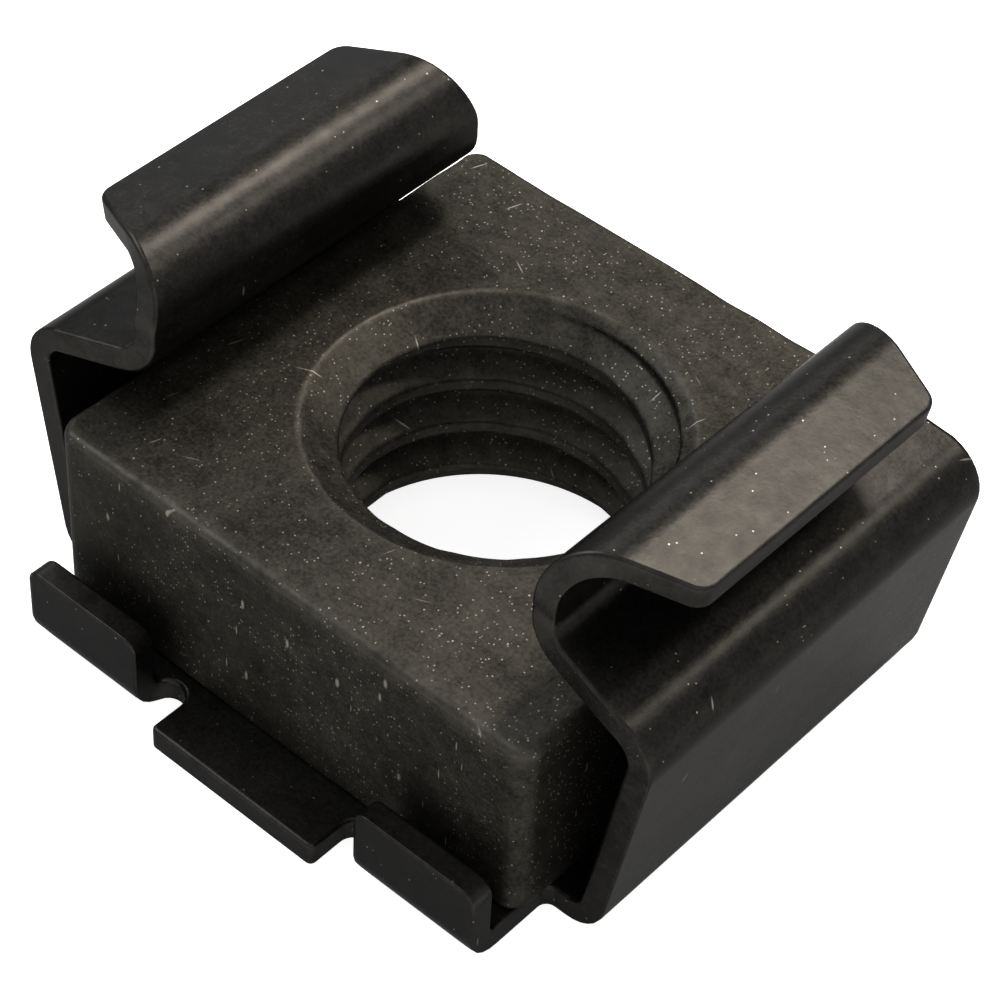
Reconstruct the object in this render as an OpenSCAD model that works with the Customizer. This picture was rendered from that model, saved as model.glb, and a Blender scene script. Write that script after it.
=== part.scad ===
// Cage nut for the square holes of an equipment rack: a square nut held loosely
// in a one-piece cage of folded spring sheet, whose two hooked arms snap into
// the hole and grip the panel's edges.
//
// Frame: +Z up, from the cage's base plate towards the rack panel. X runs
// across the two spring arms and Y runs along them. The origin lies on the
// thread's axis, on the underside of the base plate. Sizes are in millimetres.

/* [Square nut] */
// Width of the nut across its flats
nut_w = 10; // [9:0.1:12]
// Height of the nut
nut_h = 3.75; // [3:0.05:5]
// Radius of the nut's four upright corners
nut_corner_r = 0.45; // [0.2:0.05:1]
// Radius rolled over the nut's top and bottom edges
nut_edge_r = 0.3; // [0.1:0.05:0.5]

/* [Threaded hole] */
// Nominal diameter of the thread and of the screw that it takes
screw_d = 6; // [5:0.1:7.2]
// Height of the thread's crests above the nominal diameter
thread_crest_h = 0.475; // [0.3:0.005:0.6]
// Reach of the countersink past the screw's side at the nut's top face
countersink_reach = 0.2; // [0.15:0.05:0.6]
// Included angle of the countersink
countersink_angle = 118; // [90:1:130]
// Depth of the chamfer where the thread ends at the nut's underside
thread_exit_h = 0.25; // [0.1:0.05:0.5]

/* [Cage sheet] */
// Thickness of the spring sheet
sheet_t = 0.45; // [0.3:0.05:0.6]
// Inside radius of the folds at the base plate
fold_r = 0.25; // [0.15:0.05:0.4]

/* [Clearances] */
// Play between the screw and its hole in the base plate, on the diameter
screw_play = 0.1; // [0.1:0.1:0.6]
// Play between the nut's front and back faces and the upturned tabs
nut_play_y = 0.4; // [0.3:0.05:0.8]
// Play between the nut's sides and the folds at the feet of the arms
nut_play_x = 0.3; // [0.1:0.05:0.8]
// Play between the nut's top and the underside of the arms' shoulders
nut_play_z = 0.45; // [0.2:0.05:0.9]

/* [Spring arms] */
// Length of each arm at its wall
arm_w = 8.2; // [7.2:0.1:8.6]
// Length of each arm at the neck of its hook
neck_w = 7.6; // [6:0.1:8.6]
// Length of each arm at the tip of its lip
tip_w = 5.5; // [4:0.1:6.6]
// Outward lean of each arm's wall, in degrees
wall_lean = 9; // [4:0.5:14]
// Inside radius where the wall turns in to the shoulder
shoulder_r = 0.43; // [0.3:0.01:0.7]
// Rise of the shoulder towards the hook, in degrees
shoulder_rise = 14; // [8:1:24]
// Width of the flat stretch of the shoulder
shoulder_w = 1.3; // [0.8:0.05:1.6]
// Inside radius at the foot of the hook
hook_r = 0.36; // [0.25:0.01:0.6]
// Height of the straight neck between the two bends of the hook
neck_h = 0.33; // [0.1:0.01:0.8]
// Inside radius where the neck rolls out to the lip
lip_r = 0.62; // [0.4:0.01:0.8]
// Droop of the lip below level, in degrees
lip_droop = 9; // [0:1:15]
// Width of the flat stretch of the lip
lip_w = 1.1; // [0.7:0.05:1.6]
// Radius of the lip's two tip corners
tip_corner_r = 0.35; // [0.1:0.05:0.6]

/* [Tabs and tongues] */
// Height of the upturned tabs above the cage's underside
tab_h = 1.65; // [1.3:0.05:2.4]
// Distance from the nut's side faces in to the tabs' outer ends
tab_end_inset = 0.1; // [0:0.05:0.4]
// Radius of the tabs' upper corners
tab_corner_r = 0.25; // [0.1:0.05:0.45]
// Width of the flat tongue between two tabs
tongue_w = 3.6; // [2.6:0.1:4.4]
// Reach of the tongue past the outer faces of the tabs
tongue_reach = 0.3; // [0.1:0.05:0.8]
// Width of the relief slot between the tongue and each tab
slot_w = 0.6; // [0.4:0.05:0.9]
// Reach of the slot's round end past the tabs' fold line
slot_bite = 0.1; // [0.05:0.05:0.25]

/* [Hidden] */
$fn = 96;

nut_steel = [0.18, 0.175, 0.16];
spring_steel = [0.22, 0.215, 0.205];
// Angle between two points of a bent stretch's outline
bend_step = 7.5;
// Number of flats that stand for a small rounded corner
corner_steps = 6;
// Amount by which a cut runs past what it cuts
past = 1;

// Directions in a cross-section: along an angle, and to its left
function along(a) = [cos(a), sin(a)];
function left_of(a) = [-sin(a), cos(a)];
// Points on an arc about a centre, from one angle to another
function arc(centre, r, from, to, steps) =
    [for (i = [0:steps]) centre + r * along(from + (to - from) * i / steps)];
function bend_steps(from, to) = ceil(abs(to - from) / bend_step);
// Outline of a rectangle about the origin with four rounded corners
function rounded_outline(w, h, r) =
    [for (quarter = [0:3])
        let (a = 90 * quarter, sx = cos(a + 45) > 0 ? 1 : -1, sy = sin(a + 45) > 0 ? 1 : -1)
        each arc([sx * (w / 2 - r), sy * (h / 2 - r)], r, a, a + 90, corner_steps)];

// Diameters of the thread's crests, its countersink and the plate's hole
thread_minor_d = screw_d - 2 * thread_crest_h;
countersink_d = screw_d + 2 * countersink_reach;
plate_hole_d = screw_d + screw_play;

// Heights above the underside of the base plate
nut_z = sheet_t;
nut_top_z = nut_z + nut_h;
countersink_h = (countersink_d - thread_minor_d) / 2 / tan(countersink_angle / 2);

// Middle line of an arm's cross-section: fold, wall, shoulder, hook and lip
fold_mid = fold_r + sheet_t / 2;
shoulder_mid = shoulder_r + sheet_t / 2;
hook_mid = hook_r + sheet_t / 2;
lip_mid = lip_r + sheet_t / 2;
wall_dir = 90 - wall_lean;
shoulder_dir = 180 - shoulder_rise;
lip_dir = -lip_droop;

// The arms' folds begin beside the nut, and their strips begin inside the plate
fold_start = [nut_w / 2 + nut_play_x, sheet_t / 2];
tab_end_x = nut_w / 2 - tab_end_inset;
arm_root_x = tab_end_x - past;
fold_centre = fold_start + fold_mid * left_of(0);
wall_start = fold_centre - fold_mid * left_of(wall_dir);
// The shoulder's underside starts its rise at the nut's top plus its play
shoulder_centre_z = nut_top_z + nut_play_z - shoulder_r * cos(shoulder_rise);
wall_end_z = shoulder_centre_z - shoulder_mid * sin(wall_lean);
wall_end = wall_start + (wall_end_z - wall_start[1]) / sin(wall_dir) * along(wall_dir);
shoulder_centre = wall_end + shoulder_mid * left_of(wall_dir);
shoulder_start = shoulder_centre - shoulder_mid * left_of(shoulder_dir);
shoulder_end = shoulder_start + shoulder_w * along(shoulder_dir);
hook_centre = shoulder_end - hook_mid * left_of(shoulder_dir);
neck_start = hook_centre + hook_mid * left_of(90);
neck_end = neck_start + neck_h * along(90);
lip_centre = neck_end - lip_mid * left_of(90);
lip_start = lip_centre + lip_mid * left_of(lip_dir);
lip_end = lip_start + lip_w * along(lip_dir);

// One face of the sheet along the arm, from the base plate to the lip's tip:
// side 1 faces the nut and the bore, side -1 is the outside
function arm_face(side) = let (o = side * sheet_t / 2) concat(
    [[arm_root_x, fold_start[1] + o]],
    arc(fold_centre, fold_mid - o, -90, wall_dir - 90, bend_steps(0, wall_dir)),
    arc(shoulder_centre, shoulder_mid - o, wall_dir - 90, shoulder_dir - 90,
        bend_steps(wall_dir, shoulder_dir)),
    arc(hook_centre, hook_mid + o, shoulder_dir + 90, 180, bend_steps(shoulder_dir, 90)),
    arc(lip_centre, lip_mid + o, 180, lip_dir + 90, bend_steps(90, lip_dir)),
    [lip_end + o * left_of(lip_dir)]);

function reversed(list) = [for (i = [len(list) - 1:-1:0]) list[i]];

// Outside face of the tabs, and how far the base plate runs before they fold
tab_face_y = nut_w / 2 + nut_play_y + sheet_t;
tab_fold_y = tab_face_y - sheet_t - fold_r;
tab_inner_x = tongue_w / 2 + slot_w;

// Sharp-edged outside of the hook's neck, where the arm's taper changes
neck_face_x = neck_start[0] + sheet_t / 2;
hook_split_z = (neck_start[1] + neck_end[1]) / 2;

// What the taper takes off one end of an arm, below the hook, in plan
function shoulder_trim() = [
    [0, neck_w / 2], [neck_face_x, neck_w / 2], [shoulder_start[0], arm_w / 2],
    [shoulder_start[0], arm_w / 2 + past], [0, arm_w / 2 + past]];

// The same above the hook, with the lip's rounded tip corner
tip_x = lip_end[0];
tip_taper = atan2((neck_w - tip_w) / 2, tip_x - neck_face_x);
tip_corner = [tip_x - tip_corner_r,
    tip_w / 2 + tip_corner_r * tan(tip_taper) - tip_corner_r / cos(tip_taper)];
function lip_trim() = concat(
    [[0, neck_w / 2], [neck_face_x, neck_w / 2]],
    arc(tip_corner, tip_corner_r, 90 - tip_taper, 0, corner_steps),
    [[tip_x + past, tip_corner[1]], [tip_x + past, arm_w / 2 + past], [0, arm_w / 2 + past]]);

// Extrudes a cross-section drawn in X and Z along Y, about the middle
module along_y(length)
    rotate([90, 0, 0])
        linear_extrude(length, center = true)
            children();

// Extrudes a cross-section drawn in Y and Z along X, from one place to another
module along_x(from, to)
    translate([from, 0, 0])
        rotate([90, 0, 90])
            linear_extrude(to - from)
                children();

module both_sides(axis) {
    children();
    mirror(axis)
        children();
}

// Nut blank: a square block with rounded corners and rolled edges
module nut_blank() {
    edge_margin = 2 * nut_w;
    translate([0, 0, nut_z])
        intersection() {
            linear_extrude(nut_h)
                polygon(rounded_outline(nut_w, nut_w, nut_corner_r));
            translate([0, 0, nut_h / 2])
                along_y(edge_margin)
                    polygon(rounded_outline(nut_w, nut_h, nut_edge_r));
            translate([0, 0, nut_h / 2])
                rotate([0, 0, 90])
                    along_y(edge_margin)
                        polygon(rounded_outline(nut_w, nut_h, nut_edge_r));
        }
}

module square_nut()
    color(nut_steel)
        difference() {
            nut_blank();
            translate([0, 0, nut_z - past])
                cylinder(d = thread_minor_d, h = nut_h + 2 * past);
            translate([0, 0, nut_top_z - countersink_h])
                cylinder(d1 = thread_minor_d, d2 = 2 * countersink_d - thread_minor_d,
                    h = 2 * countersink_h);
            translate([0, 0, nut_z - thread_exit_h])
                cylinder(d1 = thread_minor_d + 4 * thread_exit_h, d2 = thread_minor_d,
                    h = 2 * thread_exit_h);
        }

// One arm: the folded strip, narrowed towards its neck and again to its tip
module spring_arm()
    difference() {
        along_y(arm_w)
            polygon(concat(arm_face(-1), reversed(arm_face(1))));
        both_sides([0, 1, 0]) {
            translate([0, 0, sheet_t + past])
                linear_extrude(hook_split_z + hook_r / 2 - sheet_t - past)
                    polygon(shoulder_trim());
            translate([0, 0, hook_split_z])
                linear_extrude(lip_centre[1] + lip_mid + past - hook_split_z)
                    polygon(lip_trim());
        }
    }

// One upturned tab, from the fold to its top, with rounded upper corners
module tab() {
    mid_x = (tab_inner_x + tab_end_x) / 2;
    tab_w = tab_end_x - tab_inner_x;
    intersection() {
        along_x(tab_inner_x, tab_end_x)
            polygon(concat(
                [[tab_fold_y - fold_r, 0]],
                arc([tab_fold_y, fold_r + sheet_t], fold_r + sheet_t, -90, 0, bend_steps(0, 90)),
                [[tab_face_y, tab_h], [tab_face_y - sheet_t, tab_h]],
                arc([tab_fold_y, fold_r + sheet_t], fold_r, 0, -90, bend_steps(0, 90)),
                [[tab_fold_y - fold_r, sheet_t]]));
        translate([mid_x, 0, 0])
            along_y(4 * nut_w)
                polygon([for (p = rounded_outline(tab_w, 2 * tab_h, tab_corner_r))
                    if (p[1] > 0) p,
                    [-tab_w / 2, -past], [tab_w / 2, -past]]);
    }
}

module base_plate() {
    tongue_y = tab_face_y + tongue_reach;
    slot_centre = [(tongue_w + slot_w) / 2, tab_fold_y - slot_bite + slot_w / 2];
    linear_extrude(sheet_t)
        difference() {
            union() {
                square([2 * tab_end_x, 2 * tab_fold_y], center = true);
                square([2 * tab_inner_x, 2 * slot_centre[1]], center = true);
                square([tongue_w, 2 * tongue_y], center = true);
            }
            circle(d = plate_hole_d);
            both_sides([0, 1, 0])
                both_sides([1, 0, 0])
                    translate(slot_centre)
                        circle(d = slot_w);
        }
}

module spring_cage()
    color(spring_steel) {
        base_plate();
        both_sides([1, 0, 0])
            spring_arm();
        both_sides([0, 1, 0])
            both_sides([1, 0, 0])
                tab();
    }

square_nut();
spring_cage();
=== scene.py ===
"""Rack cage nut: a threaded square nut caught loosely in a folded spring-sheet cage.

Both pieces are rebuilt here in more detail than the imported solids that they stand
for: the nut gets its helical thread and rolled edges, and the cage is cut as one flat
blank and then folded, so that its bends and sheared edges run on smoothly. Lengths are
in millimetres up to the moment that a mesh is made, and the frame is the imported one:
+Z up through the thread, X across the two spring arms, Y along them.
"""

from __future__ import annotations

import logging
import math
from dataclasses import dataclass, field
from enum import Enum
from typing import Any, Callable, Iterator, Sequence

import bpy
import numpy as np
from mathutils import Matrix, Vector
from mathutils.geometry import delaunay_2d_cdt

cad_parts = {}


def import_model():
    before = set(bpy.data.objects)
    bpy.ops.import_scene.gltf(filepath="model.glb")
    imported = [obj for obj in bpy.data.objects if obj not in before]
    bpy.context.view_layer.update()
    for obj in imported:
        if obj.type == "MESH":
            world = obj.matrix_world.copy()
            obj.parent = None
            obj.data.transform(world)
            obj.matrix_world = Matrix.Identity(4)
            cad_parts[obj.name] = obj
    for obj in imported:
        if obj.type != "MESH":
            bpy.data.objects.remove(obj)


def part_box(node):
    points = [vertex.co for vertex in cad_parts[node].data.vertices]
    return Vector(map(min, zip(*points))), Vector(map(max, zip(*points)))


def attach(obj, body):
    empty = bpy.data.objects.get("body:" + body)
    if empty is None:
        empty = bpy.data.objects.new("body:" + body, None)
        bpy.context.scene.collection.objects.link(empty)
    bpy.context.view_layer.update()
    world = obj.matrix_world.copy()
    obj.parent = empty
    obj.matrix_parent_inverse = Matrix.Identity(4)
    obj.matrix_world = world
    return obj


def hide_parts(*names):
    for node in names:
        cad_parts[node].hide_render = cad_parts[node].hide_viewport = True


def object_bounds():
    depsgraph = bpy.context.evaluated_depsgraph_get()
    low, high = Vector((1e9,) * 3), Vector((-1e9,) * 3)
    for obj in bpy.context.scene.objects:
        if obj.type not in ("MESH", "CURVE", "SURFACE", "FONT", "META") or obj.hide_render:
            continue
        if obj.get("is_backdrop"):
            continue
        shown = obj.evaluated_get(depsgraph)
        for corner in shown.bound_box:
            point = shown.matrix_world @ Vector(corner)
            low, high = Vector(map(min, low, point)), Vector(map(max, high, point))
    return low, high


MM = 0.001
WELD_STEP = 1e-5  # points closer than this, in millimetres, are one point
log = logging.getLogger("cage_nut")

Array = np.ndarray
FoldedFrame = tuple[Array, Array, Array]


# ---------------------------------------------------------------- shader helpers


class Term:
    """A shader socket that can be used in a sum or product of values."""

    def __init__(self, bench: "Bench", socket: bpy.types.NodeSocket) -> None:
        """Keeps the socket and the bench that lays its nodes.

        Args:
            bench: The bench of the tree that the socket belongs to.
            socket: The output socket to read.
        """
        self.bench = bench
        self.socket = socket

    def _math(self, operation: str, a: Any, b: Any, clamp: bool = False) -> "Term":
        """Adds one Math node.

        Args:
            operation: The Math node's operation.
            a: Its first value or link.
            b: Its second value or link.
            clamp: Whether the result stays between 0 and 1.

        Returns:
            The node's result.
        """
        settings = {"operation": operation, "use_clamp": clamp}
        return self.bench.node("ShaderNodeMath", settings, {0: a, 1: b}).term("Value")

    def __add__(self, other: Any) -> "Term":
        """Adds two values."""
        return self._math("ADD", self, other)

    def __radd__(self, other: Any) -> "Term":
        """Adds two values, with this one on the right."""
        return self._math("ADD", other, self)

    def __sub__(self, other: Any) -> "Term":
        """Takes a value from this one."""
        return self._math("SUBTRACT", self, other)

    def __rsub__(self, other: Any) -> "Term":
        """Takes this value from another."""
        return self._math("SUBTRACT", other, self)

    def __mul__(self, other: Any) -> "Term":
        """Multiplies two values."""
        return self._math("MULTIPLY", self, other)

    def __rmul__(self, other: Any) -> "Term":
        """Multiplies two values, with this one on the right."""
        return self._math("MULTIPLY", other, self)

    def __lt__(self, other: Any) -> "Term":
        """Gives 1 where this value is the smaller, and 0 elsewhere."""
        return self._math("LESS_THAN", self, other)

    def highest(self, other: Any) -> "Term":
        """Gives the larger of two values."""
        return self._math("MAXIMUM", self, other)

    def clamped(self) -> "Term":
        """Gives this value held between 0 and 1."""
        return self._math("ADD", self, 0.0, clamp=True)

    def ramp(self, low: float, high: float) -> "Term":
        """Gives a smooth 0 to 1 as this value goes from low to high.

        Args:
            low: The value that gives 0.
            high: The value that gives 1. It may be the smaller one.

        Returns:
            The smoothed share.
        """
        values = {"Value": self, 1: low, 2: high, 3: 0.0, 4: 1.0}
        if low > high:
            values = {"Value": self, 1: high, 2: low, 3: 1.0, 4: 0.0}
        settings = {"interpolation_type": "SMOOTHSTEP"}
        return self.bench.node("ShaderNodeMapRange", settings, values).term("Result")


class Laid:
    """A node that has been laid, whose outputs are read by name."""

    def __init__(self, bench: "Bench", node: bpy.types.Node) -> None:
        """Keeps the node.

        Args:
            bench: The bench that laid it.
            node: The node.
        """
        self.bench = bench
        self.raw = node

    def term(self, name: str) -> Term:
        """Gives one output.

        Args:
            name: The output's name or identifier.

        Returns:
            The output as a term.
        """
        return Term(self.bench, find_socket(self.raw.outputs, name))


def find_socket(
    sockets: Sequence[bpy.types.NodeSocket], key: str | int
) -> bpy.types.NodeSocket:
    """Finds a socket by its place, identifier or name.

    Args:
        sockets: A node's inputs or outputs.
        key: The socket's place, identifier or name.

    Returns:
        The socket.
    """
    if isinstance(key, int):
        return sockets[key]
    by_identifier = [s for s in sockets if s.identifier == key]
    by_name = [s for s in sockets if s.name == key and s.enabled]
    return (by_identifier + by_name)[0]


class Bench:
    """Lays nodes in one material's or world's tree."""

    def __init__(self, tree: bpy.types.NodeTree) -> None:
        """Empties the tree.

        Args:
            tree: The node tree to build.
        """
        self.tree = tree
        tree.nodes.clear()

    def node(
        self,
        kind: str,
        settings: dict[str, Any] | None = None,
        inputs: dict[str | int, Any] | None = None,
    ) -> Laid:
        """Lays one node.

        Args:
            kind: The node's Blender type.
            settings: Its properties, set before its sockets.
            inputs: Values or terms for its sockets.

        Returns:
            The laid node.
        """
        made = self.tree.nodes.new(kind)
        for name, value in (settings or {}).items():
            setattr(made, name, value)
        for key, value in (inputs or {}).items():
            socket = find_socket(made.inputs, key)
            if isinstance(value, Term):
                self.tree.links.new(value.socket, socket)
            else:
                socket.default_value = value
        return Laid(self, made)

    def mix_colour(self, share: Any, a: Any, b: Any) -> Term:
        """Mixes two colours.

        Args:
            share: How much of the second colour shows, from 0 to 1.
            a: The first colour.
            b: The second colour.

        Returns:
            The mixed colour.
        """
        values = {"Factor_Float": share, "A_Color": rgba(a), "B_Color": rgba(b)}
        mixed = self.node("ShaderNodeMix", {"data_type": "RGBA"}, values)
        return mixed.term("Result_Color")

    def vector(self, operation: str, a: Any, b: Any = None) -> Term:
        """Adds one Vector Math node.

        Args:
            operation: The node's operation.
            a: Its first vector.
            b: Its second vector, if it takes one.

        Returns:
            The resulting vector.
        """
        values = {0: a} if b is None else {0: a, 1: b}
        made = self.node("ShaderNodeVectorMath", {"operation": operation}, values)
        return made.term("Vector")

    def noise(
        self, place: Term, scale: float, detail: float = 2.0, roughness: float = 0.5
    ) -> Term:
        """Adds one noise texture.

        Args:
            place: Where it is read.
            scale: How many blotches fit in one millimetre.
            detail: How many finer layers it has.
            roughness: How strong the finer layers are.

        Returns:
            The noise, about 0.5.
        """
        values = {
            "Vector": place,
            "Scale": scale,
            "Detail": detail,
            "Roughness": roughness,
        }
        made = self.node("ShaderNodeTexNoise", {"noise_dimensions": "3D"}, values)
        return made.term("Fac")


def rgba(colour: Any) -> Any:
    """Gives a colour of three numbers its alpha, and passes a term on."""
    return colour if isinstance(colour, Term) else (*colour, 1.0)


# ---------------------------------------------------------------- finishes


@dataclass(frozen=True)
class Scatter:
    """Small marks scattered over a surface, one at most in each cell of space.

    Attributes:
        scale: How many cells fit in a millimetre.
        gain: What the finish's own share of marked cells is multiplied by.
        reach: A mark's radius, as a share of its cell.
        cover: How far a mark hides the coating, from 0 to 1.
    """

    scale: float
    gain: float
    reach: float
    cover: float


DUST = Scatter(scale=9.5, gain=0.8, reach=0.22, cover=0.55)
FINE_DUST = Scatter(scale=17.0, gain=2.2, reach=0.34, cover=0.4)
NICKS = Scatter(scale=1.15, gain=1.0, reach=0.3, cover=0.4)
# Each set of nicks: its turn about Z, and how much finer its cells are along each axis.
NICK_SETS = (
    (0.5, (1.0, 13.0, 2.0)),
    (1.9, (1.2, 15.0, 2.0)),
    (2.7, (0.8, 11.0, 2.0)),
)
DUST_COLOUR = (0.34, 0.31, 0.26)
# How many patches of each kind fit in a millimetre.
BLOTCHES, WORN_PATCHES, MOTTLES, DIMPLES, CRYSTALS = 0.55, 2.3, 3.2, 5.0, 16.0
WORN_GAIN = 2.1  # how much paler a worn edge is than the coating's pale places
LEAST_WORN = 0.35  # the least share of its wear that an edge keeps
LEAST_DUSTY = 0.25  # the least share of its dust that a place keeps


@dataclass(frozen=True)
class PhosphateFinish:
    """A dark phosphate coating on steel, oiled and handled.

    Attributes:
        name: The material's name.
        base: The coating's own colour.
        pale: The colour of its thin, worn or dusty places.
        roughness: How dull it is, from 0 to 1.
        ior: Its index of refraction, low for a porous coating.
        metallic: How far the dark oxide shines as metal does.
        sheen_at_edges: How much it reflects where it is seen along the surface.
        blotch: How far its colour varies in soft blotches.
        grain: The height of its crystals, in millimetres.
        speck_share: The share of the surface's cells that carry a bright speck.
        nick_share: The share of the surface's cells that carry a fine scratch.
        wear: How much paler the coating is along the edges.
        mottle: How far its colour varies in small patches.
        sparkle: How far its colour varies from crystal to crystal.
        paleness: Where its colour lies on the whole, from base at 0 to pale at 1.
        rough_blotch: How far its roughness follows the blotches.
        rough_crystal: How far its roughness follows the crystals.
        worn_polish: How much smoother it is where it is worn.
        crystal_relief: How far the crystals shape it, as a share of the grain.
        dimple_relief: How far the dimples shape it, as a share of the grain.
    """

    name: str
    base: tuple[float, float, float]
    pale: tuple[float, float, float]
    roughness: float
    ior: float
    metallic: float
    sheen_at_edges: float
    blotch: float
    grain: float
    speck_share: float
    nick_share: float
    wear: float
    mottle: float = 0.8
    sparkle: float = 1.3
    paleness: float = 0.32
    rough_blotch: float = 0.16
    rough_crystal: float = 0.2
    worn_polish: float = 0.1
    crystal_relief: float = 0.7
    dimple_relief: float = 0.8

    def build(self) -> bpy.types.Material:
        """Makes the material.

        Returns:
            The finished material.
        """
        material = bpy.data.materials.new(self.name)
        material.use_nodes = True
        material.diffuse_color = rgba(self.base)
        bench = Bench(material.node_tree)
        surface = bench.node("ShaderNodeTexCoord").term("Object")
        place = bench.vector("MULTIPLY", surface, (1 / MM,) * 3)

        blotches = bench.noise(place, BLOTCHES, detail=4.0, roughness=0.6)
        mottles = bench.noise(place, MOTTLES, detail=2.0, roughness=0.6)
        dimples = bench.noise(place, DIMPLES, detail=1.0)
        crystals = bench.noise(place, CRYSTALS, detail=3.0, roughness=0.65)
        wear = self._edge_wear(bench, place)

        paleness = (blotches - 0.5) * self.blotch + (mottles - 0.5) * self.mottle
        paleness = paleness + (crystals - 0.5) * self.sparkle + self.paleness
        colour = bench.mix_colour(paleness.clamped(), self.base, self.pale)
        worn = tuple(WORN_GAIN * c for c in self.pale)
        colour = bench.mix_colour(wear, colour, worn)
        marks = self._marks(bench, place, blotches)
        colour = bench.mix_colour(marks, colour, DUST_COLOUR)

        roughness = self.roughness + (blotches - 0.5) * self.rough_blotch
        roughness = roughness + (crystals - 0.5) * self.rough_crystal
        roughness = roughness - wear * self.worn_polish
        height = crystals * self.crystal_relief + dimples * self.dimple_relief
        bump = bench.node(
            "ShaderNodeBump",
            inputs={"Strength": 1.0, "Distance": self.grain * MM, "Height": height},
        ).term("Normal")
        shader = bench.node(
            "ShaderNodeBsdfPrincipled",
            inputs={
                "Base Color": colour,
                "Roughness": roughness.clamped(),
                "Metallic": self.metallic,
                "IOR": self.ior,
                "Specular Tint": rgba((self.sheen_at_edges,) * 3),
                "Normal": bump,
            },
        ).term("BSDF")
        bench.node("ShaderNodeOutputMaterial", inputs={"Surface": shader})
        return material

    @staticmethod
    def _specks(bench: Bench, place: Term, kind: Scatter, share: Term | float) -> Term:
        """Scatters round specks.

        Args:
            bench: The material's bench.
            place: The place on the surface, in millimetres.
            kind: The size and spacing of the specks.
            share: The share of the cells that carry a speck.

        Returns:
            1 on a speck and 0 elsewhere.
        """
        cells = bench.node(
            "ShaderNodeTexVoronoi",
            {"voronoi_dimensions": "3D", "feature": "F1"},
            {"Vector": place, "Scale": kind.scale},
        )
        split = bench.node("ShaderNodeSeparateColor", inputs={0: cells.term("Color")})
        inside = cells.term("Distance").ramp(kind.reach, kind.reach * 0.45)
        return inside * (split.term("Red") < share)

    def _marks(self, bench: Bench, place: Term, blotches: Term) -> Term:
        """Scatters dust and short fine scratches.

        Args:
            bench: The material's bench.
            place: The place on the surface, in millimetres.
            blotches: The coating's blotches, which gather the dust.

        Returns:
            How far the marks hide the coating, from 0 to 1.
        """
        dusty = blotches.ramp(0.4, 0.62) * (1 - LEAST_DUSTY) + LEAST_DUSTY
        dust_share = dusty * self.speck_share
        dust = self._specks(bench, place, DUST, dust_share * DUST.gain)
        fine = self._specks(bench, place, FINE_DUST, dust_share * FINE_DUST.gain)
        total = (dust * DUST.cover).highest(fine * FINE_DUST.cover)
        for turn, finer in NICK_SETS:
            turned = bench.node(
                "ShaderNodeVectorRotate",
                {"rotation_type": "Z_AXIS"},
                {"Vector": place, "Angle": turn},
            ).term("Vector")
            drawn = bench.vector("MULTIPLY", turned, finer)
            nicks = self._specks(bench, drawn, NICKS, self.nick_share * NICKS.gain)
            total = total.highest(nicks * NICKS.cover)
        return total

    def _edge_wear(self, bench: Bench, place: Term) -> Term:
        """Gives the uneven paling of the coating along the edges.

        Args:
            bench: The material's bench.
            place: The place on the surface, in millimetres.

        Returns:
            0 away from the edges, and up to the finish's wear on them.
        """
        edge = bench.node("ShaderNodeAttribute", {"attribute_name": "edge"}).term("Fac")
        patches = bench.noise(place, WORN_PATCHES, detail=3.0, roughness=0.6)
        share = LEAST_WORN + patches.ramp(0.35, 0.7) * (1 - LEAST_WORN)
        return edge * share * self.wear


NUT_FINISH = PhosphateFinish(
    name="nut_phosphate",
    base=(0.0115, 0.0108, 0.0090),
    pale=(0.048, 0.0445, 0.0375),
    roughness=0.52,
    ior=1.3,
    metallic=0.8,
    sheen_at_edges=0.12,
    blotch=0.9,
    grain=0.007,
    speck_share=0.09,
    nick_share=0.014,
    wear=0.3,
)
CAGE_FINISH = PhosphateFinish(
    name="spring_phosphate",
    base=(0.0090, 0.0085, 0.0078),
    pale=(0.026, 0.0245, 0.0225),
    roughness=0.35,
    ior=1.3,
    metallic=0.8,
    sheen_at_edges=0.12,
    blotch=0.6,
    grain=0.003,
    speck_share=0.010,
    nick_share=0.002,
    wear=0.25,
)


# ---------------------------------------------------------------- mesh helpers


def make_piece(
    name: str,
    points: Array,
    faces: Sequence[Sequence[int]],
    edge: Array,
    normals: Array | None = None,
) -> bpy.types.Object:
    """Makes one smooth-shaded piece.

    Args:
        name: The piece's name.
        points: Its points in millimetres, one row each.
        faces: The point numbers of each face.
        edge: How near each point is to an edge that wears, from 0 to 1.
        normals: Each point's normal, if it is known better than the faces tell.

    Returns:
        The new object.
    """
    mesh = bpy.data.meshes.new(name)
    mesh.from_pydata((points * MM).tolist(), [], [list(map(int, f)) for f in faces])
    mesh.polygons.foreach_set("use_smooth", [True] * len(mesh.polygons))
    attribute = mesh.attributes.new("edge", "FLOAT", "POINT")
    attribute.data.foreach_set("value", edge.astype(np.float32))
    mesh.update()
    if normals is not None:
        mesh.normals_split_custom_set_from_vertices(normals.tolist())
    piece = bpy.data.objects.new(name, mesh)
    bpy.context.scene.collection.objects.link(piece)
    return piece


def weld(
    points: Array, faces: Array, *extras: Array
) -> tuple[Array, list[list[int]], list[Array]]:
    """Joins points that lie in the same place and drops the faces that vanish.

    Args:
        points: The points, one row each.
        faces: The quads, one row of point numbers each.
        extras: Further values of each point.

    Returns:
        The remaining points, the remaining faces and the remaining values.
    """
    keys = np.round(points / WELD_STEP).astype(np.int64)
    _, first, number = np.unique(keys, axis=0, return_index=True, return_inverse=True)
    number = number.reshape(-1)
    kept: list[list[int]] = []
    for quad in number[faces]:
        corners = [int(q) for i, q in enumerate(quad) if q != quad[i - 1]]
        if len(set(corners)) == len(corners) and len(corners) >= 3:
            kept.append(corners)
    return points[first], kept, [e[first] for e in extras]


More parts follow.
